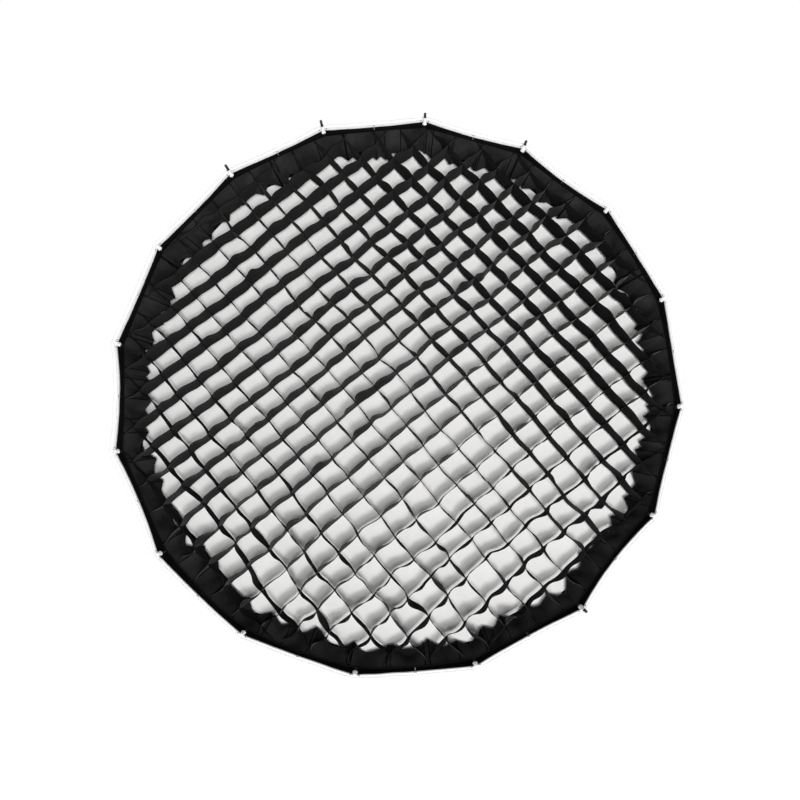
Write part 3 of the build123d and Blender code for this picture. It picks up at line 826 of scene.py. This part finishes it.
def grid_band():
    """The outer band of the grid, pressed to the shell's lip in front and drawn in by the walls behind."""
    angles = np.linspace(0, 2 * math.pi, 1441)
    depths = np.concatenate([[0, 0.03], np.linspace(0.09, 1, 11)])
    d, a = np.meshgrid(depths, angles, indexing="ij")
    radius = band_radius(a, d)
    radius[:, -1] = radius[:, 0]
    y = GRID_FRONT - 0.0012 + (GRID_BACK - GRID_FRONT + 0.0022) * d
    tuck = 0.0012 * smooth(0.1 - d, 0, 0.05)

    def skin(offset):
        r = radius + offset
        return np.stack([r * np.cos(a), y, r * np.sin(a)], -1)

    cloth = np.stack([d * BAND_DEPTH, a * RIM_RADIUS], -1)
    gap = gaps_to_ends((angles[:-1] + angles[1:]) / 2).min(-1)
    seams = np.where(gap < SEAM_HALF, 1, 0) * np.ones((len(depths) - 1, 1), int)
    seams[0] = 1  # dark tape along the front edge too
    shape = Shape()
    # the band's edges get the darker hem copy, painted shade, and its seams the dark tape
    shape.slab(skin(0.0009 + tuck), skin(-0.0003), (seams, seams, 1), cloth)
    made = shape.make("grid_band", [band_cloth, hem_shade_and_seam_tape], "grid")
    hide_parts("front_grid")


grid_band()
for family, line in itertools.product((0, 1), range(-CELLS, CELLS + 1)):
    grid_wall(family, line)


# ---------------------------------------------------------------- the diffusers
def disc_points(clear, y, rings, spokes, wave):
    """Rows of points over a sixteen-sided sheet, from its middle out, with wave added to y."""
    shares = np.linspace(0, 1, rings) ** 0.9
    angles = FIRST + np.linspace(0, 2 * math.pi, spokes)
    share, angle = np.meshgrid(shares, angles, indexing="ij")
    radius = radius_at(y) * share * (1 - share**4) + share**5 * lining_radius(y, angle, clear)
    x, z = radius * np.cos(angle), radius * np.sin(angle)
    flat = np.stack([x, np.zeros_like(x), z], -1)
    flat[..., 1] = y + wave(flat, share)
    flat[:, -1] = flat[:, 0]
    return flat


def diffuser_wave(flat, share):
    """A slack sheet: a slight belly, broad hollows, and a few thin creases."""
    belly = -0.0020 * (1 - share ** 2)
    broad = 0.0022 * noise(flat, 0.16, 51) + 0.0008 * noise(flat, 0.06, 52)
    bent = flat + 0.03 * noise(flat, 0.12, 54)[..., None]
    crease = -0.0013 * np.exp(-(np.abs(noise(bent * (1, 1, 0.55), 0.09, 53)) / 0.045) ** 2)
    return (belly + broad + crease * smooth(share, 0, 0.1)) * (1 - smooth(share, 0.93, 1.0))


def sheet_disc(name, clear, y, thickness, rings, spokes, wave, material, body, node):
    """A stretched white sheet, with its back a little behind its front."""
    top = disc_points(clear, y, rings, spokes, wave)
    under = top + (0, thickness, 0)
    shape = Shape()
    shape.slab(top, under, (0, 0, 0), top[..., [0, 2]])
    made = shape.make(name, [material], body)
    work = bmesh.new()
    work.from_mesh(made.data)
    bmesh.ops.remove_doubles(work, verts=work.verts, dist=1e-6)
    bmesh.ops.recalc_face_normals(work, faces=work.faces)
    work.to_mesh(made.data)
    work.free()
    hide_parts(node)


def border(name, width, clear, y, thickness, material, body, slot):
    """A flat ring of tape sewn round a diffuser's edge, with a stitched inner edge."""
    angles = FIRST + np.linspace(0, 2 * math.pi, 1281)
    shares = np.array([0, 0.06, 0.12, 0.5, 0.88, 1.0])
    s, a = np.meshgrid(shares, angles, indexing="ij")
    outer = lining_radius(y, a, clear)
    ring = np.stack([np.cos(a), np.zeros_like(a), np.sin(a)], -1) * outer[..., None]
    radius = outer - width * (1 - s) + 0.001 * noise(ring, 0.07, 61) * (1 - s)
    radius[:, -1] = radius[:, 0]
    lift = thickness * np.array([0.4, 1.2, 1.0, 1.0, 1.1, 0.5])[:, None] + 0.0005 * noise(ring, 0.05, 62)
    lift[:, -1] = lift[:, 0]
    top = np.stack([radius * np.cos(a), y - lift, radius * np.sin(a)], -1)
    under = np.stack([radius * np.cos(a), y + thickness + 0 * lift, radius * np.sin(a)], -1)
    shape = Shape()
    shape.slab(top, under, (0, 0, 0), np.stack([s * width, a * outer], -1))
    forward = np.tile([0, -1, 0], (len(angles), 1))
    shape.stitches(top[2], forward, 1, length=0.0034, gap=0.0016, width=0.0007, height=0.0004)
    thread = black_thread if material is not white_binding else white_thread
    made = shape.make(name, [material, thread], body)


sheet_disc("front_diffuser_cloth", 0.0010, DIFFUSER_Y, 0.0010, 70, 577, diffuser_wave, white_cloth,
           "front_cloth", "front_diffuser")
border("front_diffuser_border", 0.010, 0.0014, DIFFUSER_Y + 0.0028, 0.0012, border_cloth,
       "front_cloth", "black_shell_cloth")


def inner_wave(flat, share):
    """A slacker sheet: soft hollows alone."""
    return (0.0025 * noise(flat, 0.12, 55) + 0.0008 * noise(flat, 0.05, 56)) * (1 - smooth(share, 0.9, 1.0))


sheet_disc("inner_diffuser_cloth", 0.0012, INNER_DIFFUSER_Y, 0.0010, 40, 385, inner_wave, white_cloth,
           "inner_cloth", "inner_diffuser")
border("inner_diffuser_border", 0.014, 0.0010, INNER_DIFFUSER_Y - 0.0003, 0.0012, white_binding,
       "inner_cloth", "white_binding")


# ---------------------------------------------------------------- the rear skirt
def skirt():
    """The cuff between hub and shell: gathered at the hub by a cord channel, smooth at the shell."""
    alongs = np.linspace(SKIRT_SPAN[0] + 0.004, SKIRT_SPAN[1], 16)
    angles = np.linspace(0, 2 * math.pi, 961)
    s, a = np.meshgrid(alongs, angles, indexing="ij")
    share = (s - alongs[0]) / (alongs[-1] - alongs[0])
    ring = np.stack([np.cos(a), share * 0.4, np.sin(a)], -1) * 0.1
    gather = 1 - smooth(share, 0.0, 0.85)
    pleat = 0.0010 * np.sin(a * 64 + 2.2 * noise(ring, 0.03, 71)) * gather
    hem = 0.0007 * (smooth(share, 0.86, 0.9) + 1 - smooth(share, 0.1, 0.16))
    height = SKIRT_OFFSET + 0.0008 + pleat + hem + 0.0004 * noise(ring, 0.012, 72)
    height[:, -1] = height[:, 0]

    def skin(extra):
        r, y = curve(s, height + extra)
        r = np.maximum(r, HUB_RADIUS)
        return np.stack([r * np.cos(a), y, r * np.sin(a)], -1)

    shape = Shape()
    shape.slab(skin(0.0008), skin(0.0), (0, 0, 0), np.stack([s, a * 0.11], -1))
    for row in (3, 14):
        path = skin(0.0009)[row]
        shape.stitches(path, path * (1, 0, 1) + (0, 0.04, 0), 1)
    made = shape.make("rear_skirt_cloth", [shell_cloth, black_thread], "hub")
    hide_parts("rear_skirt")


skirt()

# ---------------------------------------------------------------- floor, light and camera
floor_mesh = bpy.data.meshes.new("floor")
FLOOR_Z, FLOOR_HALF = -2.4, 60.0
signs = ((-1, -1), (1, -1), (1, 1), (-1, 1))
corners = [(across * FLOOR_HALF, back * FLOOR_HALF, FLOOR_Z) for across, back in signs]
floor_mesh.from_pydata(corners, [], [(0, 1, 2, 3)])
floor = bpy.data.objects.new("floor", floor_mesh)
bpy.context.scene.collection.objects.link(floor)
floor_paint = Paint("floor_finish", 0.9, specular_ior_level=0.1)
floor_tone = floor_paint.speckle(floor_paint.place(False), 0.8)
floor_paint.colour(floor_paint.ramp(floor_tone, (0.965, 0.965, 0.965), (0.975, 0.975, 0.975)))
floor_mesh.materials.append(floor_paint.material)

world = bpy.data.worlds.new("studio")
world.use_nodes = True
tree = world.node_tree
white_room = tree.nodes["Background"]
white_room.inputs["Color"].default_value = (1, 1, 1, 1)
white_room.inputs["Strength"].default_value = 1.0
dim_room = tree.nodes.new("ShaderNodeBackground")  # the room's light: strong behind the box, weak in front
toward = tree.nodes.new("ShaderNodeSeparateXYZ")
tree.links.new(tree.nodes.new("ShaderNodeTexCoord").outputs["Generated"], toward.inputs[0])
gradient = tree.nodes.new("ShaderNodeMapRange")
gradient.inputs["From Min"].default_value, gradient.inputs["From Max"].default_value = -0.5, 0.4
gradient.inputs["To Min"].default_value, gradient.inputs["To Max"].default_value = 0.16, 2.35
tree.links.new(toward.outputs["Y"], gradient.inputs["Value"])
tree.links.new(gradient.outputs["Result"], dim_room.inputs["Strength"])
seen = tree.nodes.new("ShaderNodeLightPath")
either = tree.nodes.new("ShaderNodeMixShader")
tree.links.new(seen.outputs["Is Camera Ray"], either.inputs[0])
tree.links.new(dim_room.outputs[0], either.inputs[1])
tree.links.new(white_room.outputs[0], either.inputs[2])
tree.links.new(either.outputs[0], tree.nodes["World Output"].inputs["Surface"])
bpy.context.scene.world = world


def soft_light(name, place, target, size, power):
    """A round studio light aimed at a point."""
    data = bpy.data.lights.new(name, "AREA")
    data.shape, data.size, data.energy = "DISK", size, power
    made = bpy.data.objects.new(name, data)
    made.location = place
    made.rotation_mode = "QUATERNION"
    made.rotation_quaternion = (Vector(target) - Vector(place)).to_track_quat("-Z", "Y")
    bpy.context.scene.collection.objects.link(made)


soft_light("key", (0.70, -3.5, -1.28), (-0.3, -0.5, 1.7), 0.65, 56)
soft_light("front", (0.13, -3.97, -0.82), (0, -0.5, 1.6), 1.0, 53)
soft_light("back", (1.6, 2.6, 1.9), (0, -0.2, 0), 1.6, 30)
soft_light("low", (-0.13, -2.1, -1.69), (0, -0.5, 0), 0.4, 1)

camera_data = bpy.data.cameras.new("camera")
camera_data.sensor_width, camera_data.lens = 36.0, 29.25
camera = bpy.data.objects.new("camera", camera_data)
camera.location = (0.0528, -1.8867, -0.3278)
camera.rotation_mode = "QUATERNION"
camera.rotation_quaternion = Vector((-0.0278, 0.9791, 0.2012)).to_track_quat("-Z", "Y")
bpy.context.scene.collection.objects.link(camera)
bpy.context.scene.camera = camera
bpy.context.scene.view_settings.view_transform = "Standard"

bpy.context.view_layer.update()
